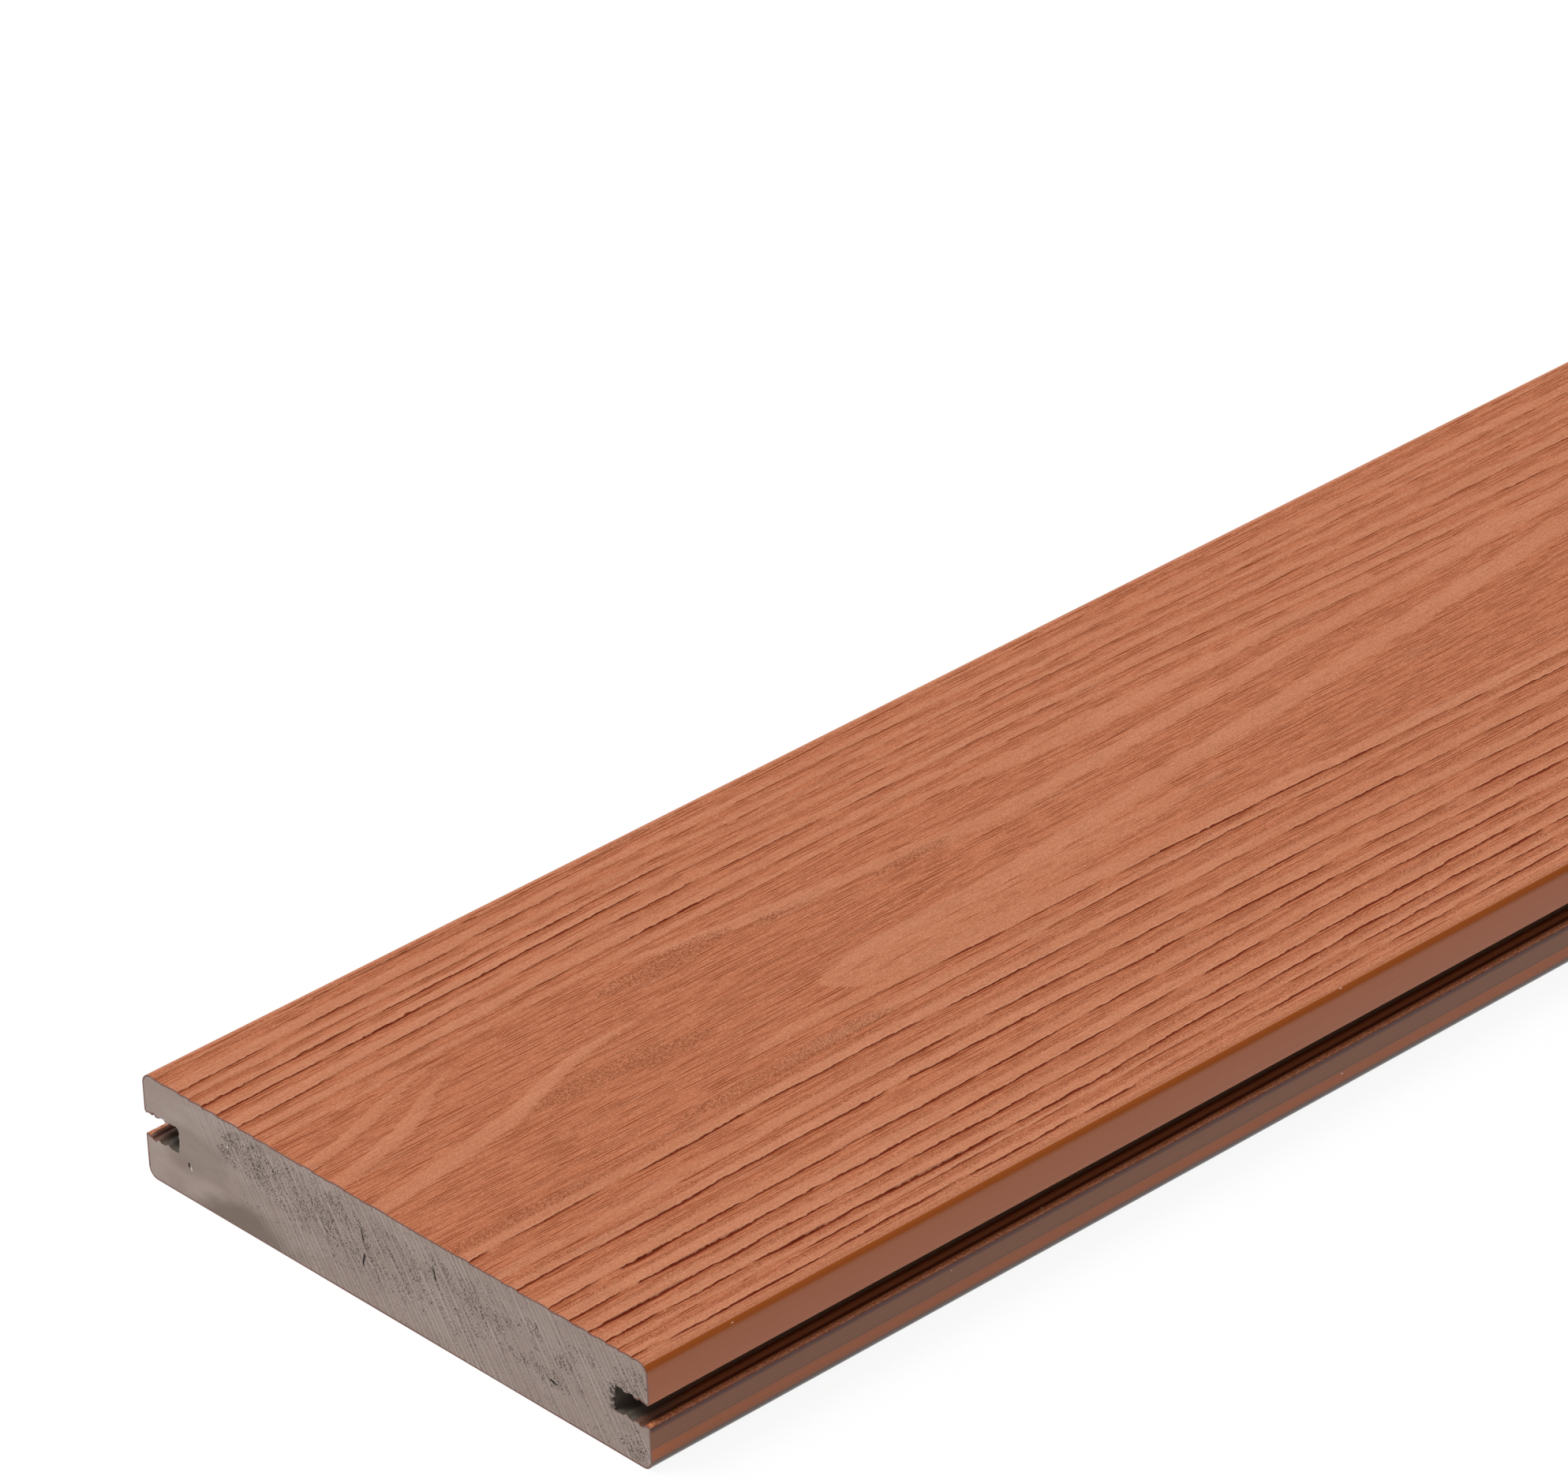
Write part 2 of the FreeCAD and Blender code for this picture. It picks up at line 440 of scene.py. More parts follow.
    def relief_depth(self):
        """How far the surface lies under the top of the ridges."""
        left = self.span - self.past
        foot = 1.0 - smoothstep(*FLOOR_RISE, self.past)
        at_line = np.maximum(foot, (left < GROOVE_WALL * 0.5) * 1.0)
        groove = RING_GROOVE_DEPTH * np.minimum(self.stroke / FULL_STROKE, 1.0) * at_line
        depth = np.maximum(RECESS_DEPTH * (1.0 - self.raised), groove)
        near_edge = np.minimum(self.across - TOP_EDGE_RADIUS, WIDTH - TOP_EDGE_RADIUS - self.across)
        return depth * smoothstep(0.0, EDGE_FADE, near_edge)


def inward_normals(loop):
    """Unit normals of a closed loop of (y, z) points, pointing into the section."""
    ahead = np.roll(loop, -1, axis=0) - np.roll(loop, 1, axis=0)
    normals = np.stack([-ahead[:, 1], ahead[:, 0]], axis=1)
    return normals / np.linalg.norm(normals, axis=1, keepdims=True)


def groove_depth_at(y, z):
    """How far into a clip groove a point of the outline lies, in millimetres, or 0 outside."""
    inside = (z > LOWER_LIP_THICKNESS - SLACK) & (z < GROOVE_ROOF + SLACK)
    return np.where(inside, np.maximum(HALF_WIDTH - np.abs(y), 0.0), 0.0)


def chips(outline, seed):
    """Bites that the saw tore out of the grooves' edges, and burrs at the back of one: moves of points."""
    rng = np.random.default_rng(seed)
    depth = groove_depth_at(outline[:, 0], outline[:, 1])
    count = len(outline)
    knots = np.arange(0, count + CHIP_RUN, CHIP_RUN)
    coarse = np.interp(np.arange(count), knots, rng.uniform(0.0, 1.0, len(knots)))
    size = CHIP_SIZE * (0.5 * coarse + 0.5 * rng.uniform(0.0, 1.0, count))
    size = size * smoothstep(*CHIP_START, depth)
    burr = BURR_SIZE * rng.uniform(*BURR_SPREAD, count)
    burr = burr * smoothstep(*BURR_DEPTHS, depth) * (outline[:, 0] < 0.0)
    return inward_normals(outline) * (size + burr)[:, None]


def cap_inset(outline):
    """The edge of the cap on a sawn end: moves of the outline's points, none deep in the grooves."""
    depth = groove_depth_at(outline[:, 0], outline[:, 1])
    rng = np.random.default_rng(CAP_SEED)
    thickness = CAP_THICKNESS * rng.uniform(*CAP_SPREAD, len(outline))
    thickness = thickness * (1.0 - smoothstep(CAP_REACH - CAP_FADE, CAP_REACH, depth))
    return inward_normals(outline) * thickness[:, None], thickness > 0.0


class Skin:
    """Points and faces of the board's one closed mesh. A kind is the number of its material."""

    GRAIN, SMOOTH, CORE = range(3)

    def __init__(self):
        self.points = []
        self.faces = []
        self.kinds = []

    def add_points(self, array):
        """Adds an array of (x, y, z), and returns the points' numbers in its shape."""
        start = len(self.points)
        self.points.extend(array.reshape(-1, 3).tolist())
        return np.arange(start, len(self.points)).reshape(array.shape[:-1])

    def add_faces(self, faces, kind):
        self.faces.extend([int(corner) for corner in face] for face in faces)
        self.kinds.extend([kind] * len(faces))

    def add_grid(self, grid, kind):
        corners = (grid[:-1, :-1], grid[:-1, 1:], grid[1:, 1:], grid[1:, :-1])
        self.add_faces(np.stack(corners, axis=-1).reshape(-1, 4), kind)

    def add_seam(self, fine, coarse, shared, kind, fine_first):
        """Joins a fine edge to a coarse one that has only the shared rows of it."""
        faces = []
        for (start, end), near, far in zip(zip(shared, shared[1:]), coarse, coarse[1:]):
            middle = (start + end) // 2
            for row in range(start, end):
                apex = near if row < middle else far
                faces.append((fine[row], apex, fine[row + 1]))
            faces.append((fine[middle], near, far))
        if not fine_first:
            faces = [face[::-1] for face in faces]
        self.add_faces(faces, kind)

    def add_end(self, loop, inner, has_cap, x, flip):
        """A sawn end: the cap's thin ring, and the core within it."""
        index = loop.copy()
        section = np.insert(inner[has_cap], 0, x, axis=1)
        index[has_cap] = self.add_points(section)
        ring = []
        count = len(loop)
        for column in range(count):
            after = (column + 1) % count
            corners = (loop[column], index[column], index[after], loop[after])
            corners = list(dict.fromkeys(int(corner) for corner in corners))
            if len(corners) > 2:
                ring.append(corners[::-1] if flip else corners)
        middle = index if flip else index[::-1]
        self.add_faces(ring, self.SMOOTH)
        self.add_faces([middle], self.CORE)


def make_board():
    """One closed mesh: the grained top, the smooth sides and underside, and the two sawn ends."""
    along = row_places()
    grain = Grain(along)
    rows, top_count = grain.across.shape
    side = side_profile()
    underside = np.linspace(side[-1, 0], -side[-1, 0], UNDERSIDE_COLUMNS)[1:-1]
    underside = np.stack([underside, np.zeros_like(underside)], axis=1)
    smooth = np.concatenate([side, underside, side[::-1] * np.array([-1.0, 1.0])])

    top = np.stack(
        [np.repeat(along[:, None], top_count, axis=1), HALF_WIDTH - grain.across, THICKNESS - grain.relief],
        axis=-1,
    )
    shared = side_rows(rows)
    rest = np.zeros((len(shared), len(smooth), 3))
    rest[:, :, 0] = along[shared][:, None]
    rest[:, :, 1:] = smooth
    for end, seed in ((0, NEAR_END_SEED), (-1, FAR_END_SEED)):
        torn = chips(smooth, seed)
        for step, share in enumerate(CHIP_ROW_SHARE):
            rest[step if end == 0 else end - step, :, 1:] += torn * share

    skin = Skin()
    top_index = skin.add_points(top)
    rest_index = skin.add_points(rest)
    skin.add_grid(top_index, Skin.GRAIN)
    skin.add_seam(top_index[:, -1], rest_index[:, 0], shared, Skin.GRAIN, True)
    skin.add_seam(top_index[:, 0], rest_index[:, -1], shared, Skin.GRAIN, False)
    skin.add_grid(rest_index[:, :GRAINED_STEPS], Skin.GRAIN)
    skin.add_grid(rest_index[:, GRAINED_STEPS - 1:1 - GRAINED_STEPS], Skin.SMOOTH)
    skin.add_grid(rest_index[:, -GRAINED_STEPS:], Skin.GRAIN)
    for end, flip in ((0, False), (-1, True)):
        loop = np.concatenate([top_index[end], rest_index[end]])
        outline = np.concatenate([top[end, :, 1:], rest[end, :, 1:]])
        clean = np.concatenate([top[end, :, 1:], smooth])
        clean[:top_count, 1] = THICKNESS
        inset, has_cap = cap_inset(clean)
        skin.add_end(loop, outline + inset, has_cap, along[end], flip)
    return skin_object(skin, grain)


def skin_object(skin, grain):
    """The mesh object, with the grain's marks as attributes of its points."""
    mesh = bpy.data.meshes.new("decking_board_skin")
    points = (np.array(skin.points) - np.array((LENGTH / 2.0, 0.0, 0.0))) * MM
    mesh.from_pydata(points.tolist(), [], skin.faces)
    mesh.polygons.foreach_set("material_index", skin.kinds)
    mesh.polygons.foreach_set("use_smooth", [kind != Skin.CORE for kind in skin.kinds])
    for name, elsewhere in SHOULDER_MARKS.items():
        values = getattr(grain, name)
        data = np.full(len(points), elsewhere, dtype=np.float32)
        data[:values.size] = values.ravel()
        mesh.attributes.new(name, "FLOAT", "POINT").data.foreach_set("value", data)
    mesh.update()
    mesh.set_sharp_from_angle(angle=SHARP_ANGLE)
    board = bpy.data.objects.new("grained_board", mesh)
    bpy.context.scene.collection.objects.link(board)
    return board


class Nodes:
    """Short calls for building a material's node tree. Lengths are in millimetres."""

    def __init__(self, name):
        self.material = bpy.data.materials.new(name)
        self.material.use_nodes = True
        self.tree = self.material.node_tree
        self.shader = self.tree.nodes["Principled BSDF"]
        place = self.tree.nodes.new("ShaderNodeTexCoord")
        self.place = self.vector("SCALE", place.outputs["Object"], scale=1.0 / MM)
        self.x, self.y, self.z = self.split(self.place)

    def put(self, socket, value):
        if isinstance(value, bpy.types.NodeSocket):
            self.tree.links.new(value, socket)
        elif value is not None:
            socket.default_value = value

    def math(self, operation, first, second=None, third=None, clamp=False):
        node = self.tree.nodes.new("ShaderNodeMath")
        node.operation = operation
        node.use_clamp = clamp
        for socket, value in zip(node.inputs, (first, second, third)):
            self.put(socket, value)
        return node.outputs[0]

    def times(self, *values):
        total = values[0]
        for value in values[1:]:
            total = self.math("MULTIPLY", total, value)
        return total

    def most(self, *values):
        best = values[0]
        for value in values[1:]:
            best = self.math("MAXIMUM", best, value)
        return best

    def vector(self, operation, first, second=None, scale=None):
        node = self.tree.nodes.new("ShaderNodeVectorMath")
        node.operation = operation
        self.put(node.inputs[0], first)
        self.put(node.inputs[1], second)
        self.put(node.inputs[3], scale)
        return node.outputs["Vector"]

    def length(self, vector):
        node = self.tree.nodes.new("ShaderNodeVectorMath")
        node.operation = "LENGTH"
        self.put(node.inputs[0], vector)
        return node.outputs["Value"]

    def turn(self, vector, angle):
        """Turns a vector about Z."""
        node = self.tree.nodes.new("ShaderNodeVectorRotate")
        node.rotation_type = "Z_AXIS"
        self.put(node.inputs["Vector"], vector)
        node.inputs["Angle"].default_value = angle
        return node.outputs["Vector"]

    def split(self, vector):
        node = self.tree.nodes.new("ShaderNodeSeparateXYZ")
        self.put(node.inputs[0], vector)
        return node.outputs

    def join(self, x, y, z=0.0):
        node = self.tree.nodes.new("ShaderNodeCombineXYZ")
        for socket, value in zip(node.inputs, (x, y, z)):
            self.put(socket, value)
        return node.outputs[0]

    def attribute(self, name):
        node = self.tree.nodes.new("ShaderNodeAttribute")
        node.attribute_name = name
        return node.outputs["Fac"]

    def scaled(self, sizes, shift, place):
        place = self.vector("DIVIDE", self.place if place is None else place, (*sizes, 1.0)[:3])
        return self.vector("ADD", place, (shift, shift * 0.7, shift * 0.4))

    def noise(self, sizes, detail=1.0, shift=0.0, place=None):
        """Noise whose features are about as large as sizes, along X, Y and Z."""
        node = self.tree.nodes.new("ShaderNodeTexNoise")
        self.put(node.inputs["Vector"], self.scaled(sizes, shift, place))
        node.inputs["Scale"].default_value = 1.0
        node.inputs["Detail"].default_value = detail
        return node.outputs["Fac"]

    def spots(self, sizes, radius, keep=1.0, shift=0.0, place=None):
        """Lens-shaped spots, one in each cell of these sizes. keep is the share of cells with one."""
        node = self.tree.nodes.new("ShaderNodeTexVoronoi")
        node.voronoi_dimensions = "2D"
        self.put(node.inputs["Vector"], self.scaled(sizes, shift, place))
        node.inputs["Scale"].default_value = 1.0
        chance = self.split(node.outputs["Color"])
        reach = self.step(chance[1], 0.0, 1.0, radius * 0.6, radius * 1.3)
        spot = self.step(self.math("DIVIDE", node.outputs["Distance"], reach), 0.7, 1.05, 1.0, 0.0)
        return self.math("MULTIPLY", spot, self.math("LESS_THAN", chance[0], keep))

    def step(self, value, low_edge, high_edge, start=0.0, end=1.0):
        """Goes smoothly from start to end as value goes from the low edge to the high one."""
        node = self.tree.nodes.new("ShaderNodeMapRange")
        node.interpolation_type = "SMOOTHSTEP"
        for name, put in (("Value", value), ("From Min", low_edge), ("From Max", high_edge),
                          ("To Min", start), ("To Max", end)):
            self.put(node.inputs[name], put)
        return node.outputs["Result"]

    def between(self, value, start, end, soft):
        """1 from start to end, fading over soft on both sides."""
        rise = self.step(value, start - soft, start + soft)
        return self.math("MULTIPLY", rise, self.step(value, end - soft, end + soft, 1.0, 0.0))

    def mix(self, share, first, second):
        """Colour between two colours."""
        node = self.tree.nodes.new("ShaderNodeMix")
        node.data_type = "RGBA"
        self.put(node.inputs["Factor"], share)
        for socket, value in ((node.inputs[6], first), (node.inputs[7], second)):
            self.put(socket, (*value, 1.0) if isinstance(value, tuple) else value)
        return node.outputs[2]

    def bump(self, height):
        """Bump from a height in millimetres."""
        node = self.tree.nodes.new("ShaderNodeBump")
        node.inputs["Strength"].default_value = 1.0
        node.inputs["Distance"].default_value = MM
        self.put(node.inputs["Height"], height)
        self.put(self.shader.inputs["Normal"], node.outputs["Normal"])

    def surface(self, colour, rough):
        self.put(self.shader.inputs["Base Color"], colour)
        self.put(self.shader.inputs["Roughness"], rough)


# Colours of the grained cap
RIDGE_COLOUR = (0.492, 0.178, 0.086)
RIDGE_PALE = (0.526, 0.200, 0.102)
BAND_COLOUR = (0.488, 0.165, 0.077)
BAND_DARK = (0.448, 0.143, 0.064)
HAIR_COLOUR = (0.210, 0.036, 0.004)
SMEAR_COLOUR = (0.36, 0.165, 0.105)
DOT_COLOUR = (0.215, 0.038, 0.005)
# Painted shade that fades below each stroke
SHADE_COLOUR = (0.270, 0.056, 0.008)
# The strokes' colour: partly the grooves' own, partly painted shade in their crevices
STROKE_AND_SHADE_COLOUR = (0.155, 0.010, 0.000)
# Pale flecks and light mottle, and the painted highlight on each ridge's lit edge
FLECK_AND_HIGHLIGHT_COLOUR = (0.66, 0.310, 0.182)
GRAIN_GLOSS = 0.12
GRAIN_ROUGHNESS = (0.6, 0.5)

# How strongly each mark colours the cap, and how deep it is pressed
SMEAR_SHARE = 0.2
MOTTLE_DARK = 0.26
MOTTLE_LIGHT = 0.33
MOTTLE_DEPTH = 0.06
HAIR_SHARE = 0.84
HAIR_DEPTH = 0.04
DOT_SHARE = 0.6
DOT_DEPTH = 0.08
FLECK_AND_HIGHLIGHT_SHARE = 0.45
SHADE_SHARE = 0.33
SHADE_DEPTH = 0.08
STROKE_SHARE = 0.9
STROKE_DEPTH = 0.1

# Brushed hairlines: their distance apart, how many lines they drift by, their half width from least to most
# (below nothing there is no line), what is added in the shade of a stroke, and what is left on the ridges
HAIR_PITCH = 0.56
HAIR_DRIFT = 2.4
HAIR_REACH = (-0.08, 0.10)
SHADED_REACH = 0.07
RIDGE_HAIR = 0.25


def grain_material():
    """The embossed cap: its tones, strokes, hairlines and pits."""
    n = Nodes("embossed_cap")
    ring = n.attribute("ring")
    span = n.attribute("span")
    stroke = n.attribute("stroke")
    raised_here = n.attribute("raised")
    patch = n.attribute("dots")

    # Ragged ring lines: the drawn ones, shifted by noise that is stretched along the grain
    long_shift = n.math("SUBTRACT", n.noise((9.0, 1.2, 1.0)), 0.5)
    short_shift = n.math("SUBTRACT", n.noise((1.3, 0.5, 1.0), 2.0, 9.0), 0.5)
    shift = n.math("MULTIPLY_ADD", long_shift, 0.45, n.math("MULTIPLY", short_shift, 0.5))
    turn = n.math("FRACT", n.math("ADD", ring, n.math("DIVIDE", shift, span)))
    past = n.math("MULTIPLY", turn, span)
    left = n.math("SUBTRACT", span, past)

    # Dark strokes at the foot of each ridge, partly the grooves' own darker colour and partly painted shade
    # in their crevices, their fading painted shade below, and a painted highlight on the lit edge above
    # them
    present = n.step(stroke, 0.06, 0.24)
    foot = n.step(n.math("DIVIDE", past, n.math("MAXIMUM", stroke, 0.05)), 0.4, 1.0, 1.0, 0.0)
    wall = n.step(left, 0.05, 0.15, 1.0, 0.0)
    dark = n.times(n.most(foot, wall), present)
    shade = n.times(n.step(past, 0.1, 1.5, 1.0, 0.0), present)
    lit_edge = n.times(n.between(left, 0.18, 0.45, 0.1), present)

    # Brushed hairlines, dense in the bands and faint on the ridges
    uneven = n.math("SUBTRACT", n.noise((6.0, 0.9, 1.0), 3.0, 5.0), 0.5)
    raised = n.math("MULTIPLY_ADD", uneven, 1.1, raised_here, clamp=True)
    bands = n.step(raised, 0.2, 0.8, 1.0, 0.0)
    wander = n.math("MULTIPLY", n.math("SUBTRACT", n.noise((45.0, 9.0, 1.0), 1.0, 6.0), 0.5), 2.5)
    combed = n.join(n.x, n.math("ADD", n.y, wander))
    clusters = n.step(n.noise((34.0, 2.6, 1.0), 2.0, 3.0), 0.35, 0.65)
    combing = n.noise((24.0, 0.55, 1.0), 2.0, 4.0, combed)
    drift = n.times(n.noise((26.0, 1.8, 1.0), 1.0, 1.0, combed), HAIR_DRIFT)
    phase = n.math("FRACT", n.math("MULTIPLY_ADD", n.y, 1.0 / HAIR_PITCH, drift))
    from_line = n.times(n.math("ABSOLUTE", n.math("SUBTRACT", phase, 0.5)), HAIR_PITCH)
    reach = n.step(n.noise((9.0, 0.45, 1.0), 2.0, 2.0, combed), 0.32, 0.7, *HAIR_REACH)
    reach = n.math("MULTIPLY_ADD", shade, SHADED_REACH, reach)
    fine_lines = n.step(n.math("SUBTRACT", from_line, reach), 0.0, 0.07, 1.0, 0.0)
    dashes = n.times(n.spots((34.0, 0.8), 0.12, 0.6, 8.0, combed), n.step(clusters, 0.0, 1.0, 0.3, 1.0))
    hair = n.most(fine_lines, dashes)
    hair = n.times(hair, n.step(bands, 0.0, 1.0, RIDGE_HAIR, 1.0))
    mottle = n.noise((0.46, 0.22, 1.0), 2.0, 4.0)

    # Fine pits where a ring's band meets its ridge, and in the drawn patches
    dotted = n.step(n.math("ADD", patch, uneven), 0.3, 0.6)
    dots = n.times(n.step(n.noise((0.34, 0.25, 1.0), 1.0, 2.0), 0.52, 0.61), dotted)
    hair = n.times(hair, n.step(dotted, 0.0, 1.0, 1.0, 0.35))

    # Colour: tones first, then the marks
    tone = n.noise((60.0, 7.0, 1.0), 2.0, 3.0)
    crest = n.mix(n.step(tone, 0.3, 0.7), RIDGE_COLOUR, RIDGE_PALE)
    brushed = n.mix(n.step(combing, 0.35, 0.65), BAND_COLOUR, BAND_DARK)
    colour = n.mix(bands, crest, brushed)
    smear = n.step(n.noise((30.0, 1.8, 1.0), 2.0, 12.0), 0.58, 0.75)
    colour = n.mix(n.times(smear, SMEAR_SHARE), colour, SMEAR_COLOUR)
    colour = n.mix(n.step(mottle, 0.48, 0.66, 0.0, MOTTLE_DARK), colour, HAIR_COLOUR)
    colour = n.mix(n.step(mottle, 0.32, 0.48, MOTTLE_LIGHT, 0.0), colour, FLECK_AND_HIGHLIGHT_COLOUR)
    colour = n.mix(n.times(hair, HAIR_SHARE), colour, HAIR_COLOUR)
    colour = n.mix(n.times(dots, DOT_SHARE), colour, DOT_COLOUR)
    # Pale flecks, with the painted highlight on each ridge's lit edge
    flecks = n.spots((1.5, 0.6), 0.15, 0.16, 7.0)
    colour = n.mix(n.times(n.most(flecks, lit_edge), FLECK_AND_HIGHLIGHT_SHARE), colour, FLECK_AND_HIGHLIGHT_COLOUR)
    # Painted shade below the strokes, then the strokes, partly painted shade in their crevices
    colour = n.mix(n.times(shade, SHADE_SHARE), colour, SHADE_COLOUR)
    colour = n.mix(n.times(dark, STROKE_SHARE), colour, STROKE_AND_SHADE_COLOUR)

    height = n.times(hair, -HAIR_DEPTH)
    height = n.math("MULTIPLY_ADD", dots, -DOT_DEPTH, height)
    height = n.math("MULTIPLY_ADD", dark, -STROKE_DEPTH, height)
    height = n.math("MULTIPLY_ADD", n.times(shade, bands), -SHADE_DEPTH, height)
    height = n.math("MULTIPLY_ADD", mottle, -MOTTLE_DEPTH, height)
    n.surface(colour, n.step(raised, 0.0, 1.0, *GRAIN_ROUGHNESS))
    n.shader.inputs["Specular IOR Level"].default_value = GRAIN_GLOSS
    n.bump(height)
    return n.material


# Colours of the smooth cap on the sides, from the upper lip down, inside the grooves and where it is cut
SIDE_COLOUR = (0.335, 0.078, 0.011)
SIDE_STREAK = (0.315, 0.072, 0.010)
# The bead's top is painted as lit, its front as shaded
LIT_BEAD_COLOUR = (0.600, 0.235, 0.118)
LIT_BEAD_PIT = (0.380, 0.112, 0.042)
SHADED_BEAD_FRONT = (0.210, 0.050, 0.010)
# A dark colour: painted shade under the bead and in the groove's valley, and a thin line at the foot's top
DARK_LINE_AND_SHADE = (0.070, 0.008, 0.001)
BAND_GREY = (0.190, 0.065, 0.020)
FOOT_COLOUR = (0.365, 0.077, 0.003)
# Painted shade along the bottom edge
BOTTOM_EDGE_SHADE = (0.095, 0.052, 0.034)
UNDERSIDE_COLOUR = (0.205, 0.066, 0.026)
# Painted shade inside the grooves: on the cap, on the bare foam, and deeper in near the ends
SHADED_INNER_CAP = (0.245, 0.060, 0.013)
SHADED_INNER_FOAM = (0.150, 0.098, 0.064)
GROOVE_SHADE_COLOUR = (0.060, 0.048, 0.036)
SPECK_COLOUR = (0.75, 0.55, 0.45)
CUT_COLOUR = (0.130, 0.036, 0.020)

# Heights at which these colours change, from the underside up to the bead at the groove's mouth
UNDERSIDE_FADE = (0.1, 0.6)
SOLE_TOP = 2.3
FOOT_TOP = 4.75
BAND_TOP = 8.75
LIP_TOP = 9.38
BEAD_TOP = 9.85

# Depths in the groove of the bead and of the valley behind it, which is painted in shade, and where its
# inner, painted-shade colour starts
BEAD_DEPTHS = (-0.5, 1.1)
VALLEY_DEPTHS = (1.3, 2.6)
VALLEY_HEIGHTS = (9.0, 9.75)
INNER_START = (1.1, 1.4)
WALL_SLACK = 0.3

CAP_IOR = 1.49
CAP_ROUGHNESS = (0.3, 0.6)


def smooth_material():
    """The smooth cap of the sides, the underside and the grooves."""
    n = Nodes("smooth_cap")
    depth = n.math("SUBTRACT", HALF_WIDTH, n.math("ABSOLUTE", n.y))
    streaks = n.noise((160.0, 1.2, 0.45), 2.0)
    wavy = n.math("MULTIPLY_ADD", n.math("SUBTRACT", n.noise((60.0, 8.0, 8.0), 1.0, 4.0), 0.5), 0.5, n.z)
    colour = n.mix(n.step(streaks, 0.3, 0.7), SIDE_COLOUR, SIDE_STREAK)
    # Painted shade on the lower lip's rounded top, below the bead
    colour = n.mix(n.step(n.z, LIP_TOP - 0.06, LIP_TOP + 0.06, 1.0, 0.0), colour, DARK_LINE_AND_SHADE)
    band = n.mix(n.step(streaks, 0.3, 0.8, 0.0, 0.3), BAND_GREY, SIDE_STREAK)
    colour = n.mix(n.step(n.z, BAND_TOP - 0.7, BAND_TOP + 0.15, 1.0, 0.0), colour, band)
    line = n.between(wavy, FOOT_TOP + 0.15, FOOT_TOP + 0.35, 0.15)
    colour = n.mix(n.times(line, 0.5), colour, DARK_LINE_AND_SHADE)
    foot = n.mix(n.step(streaks, 0.3, 0.75, 0.0, 0.35), FOOT_COLOUR, BAND_GREY)
    colour = n.mix(n.step(wavy, FOOT_TOP - 0.1, FOOT_TOP + 0.2, 1.0, 0.0), colour, foot)
    # Painted shade along the bottom edge, where it meets the floor
    colour = n.mix(n.step(n.z, SOLE_TOP - 0.5, SOLE_TOP + 0.5, 1.0, 0.0), colour, BOTTOM_EDGE_SHADE)
    colour = n.mix(n.step(n.z, *UNDERSIDE_FADE, 1.0, 0.0), colour, UNDERSIDE_COLOUR)

    # The bead over the lower lip, pitted on top: a painted highlight makes its top pale, and painted shade
    # makes its front brown
    bead = n.times(n.between(n.z, LIP_TOP, BEAD_TOP, 0.06), n.between(depth, *BEAD_DEPTHS, 0.25))
    pitted = n.step(n.noise((0.7, 0.3, 0.25), 2.0, 6.0), 0.42, 0.62)
    ridge_wear_and_bead_light = n.step(depth, 0.0, 0.3)
    lit_bead_colour = n.mix(pitted, LIT_BEAD_PIT, LIT_BEAD_COLOUR)
    colour = n.mix(bead, colour, n.mix(ridge_wear_and_bead_light, SHADED_BEAD_FRONT, lit_bead_colour))

    # Inside the groove the cap is painted in shade, and ends where the bare foam starts, which is painted
    # in shade too
    walls = n.between(n.z, LOWER_LIP_THICKNESS - WALL_SLACK, GROOVE_ROOF + WALL_SLACK, 0.1)
    inside = n.times(n.step(depth, *INNER_START), walls)
    ragged = n.math("MULTIPLY_ADD", n.noise((3.0, 1.0, 1.0), 2.0, 7.0), 0.8, depth)
    bare = n.step(ragged, CAP_REACH, CAP_REACH + 0.8)
    colour = n.mix(inside, colour, n.mix(bare, SHADED_INNER_CAP, SHADED_INNER_FOAM))
    # Painted shade in the valley behind the bead
    valley = n.times(n.between(depth, *VALLEY_DEPTHS, 0.15), n.between(n.z, *VALLEY_HEIGHTS, 0.1))
    colour = n.mix(n.times(valley, 0.85), colour, DARK_LINE_AND_SHADE)
    # Painted shade deeper in the groove near each end
    from_end = n.math("SUBTRACT", LENGTH / 2.0, n.math("ABSOLUTE", n.x))
    groove_shade = n.times(inside, n.step(depth, 1.5, 4.5, 0.35, 0.9), n.step(from_end, 3.0, 16.0, 1.0, 0.0))
    colour = n.mix(groove_shade, colour, GROOVE_SHADE_COLOUR)
    specks = n.spots((25.0, 9.0), 0.012, 0.25, 3.0, n.join(n.x, n.math("ADD", n.z, n.y)))
    colour = n.mix(specks, colour, SPECK_COLOUR)
    colour = n.mix(n.step(from_end, 0.02, 0.06, 1.0, 0.0), colour, CUT_COLOUR)
    n.surface(colour, n.step(inside, 0.0, 1.0, *CAP_ROUGHNESS))
    n.shader.inputs["IOR"].default_value = CAP_IOR
    bumps = n.math("MULTIPLY", n.noise((9.0, 0.6, 0.6), 2.0, 5.0), 0.015)
    n.bump(n.math("MULTIPLY_ADD", n.times(bead, pitted), 0.06, bumps))
    return n.material


# Colours of the sawn foam
CORE_COLOUR = (0.278, 0.214, 0.185)
CORE_LIGHT = (0.334, 0.265, 0.233)
CORE_PALE = (0.400, 0.330, 0.298)
CORE_BROWN = (0.185, 0.138, 0.115)
CORE_SMEAR = (0.150, 0.106, 0.084)
CORE_CHIP = (0.640, 0.590, 0.540)
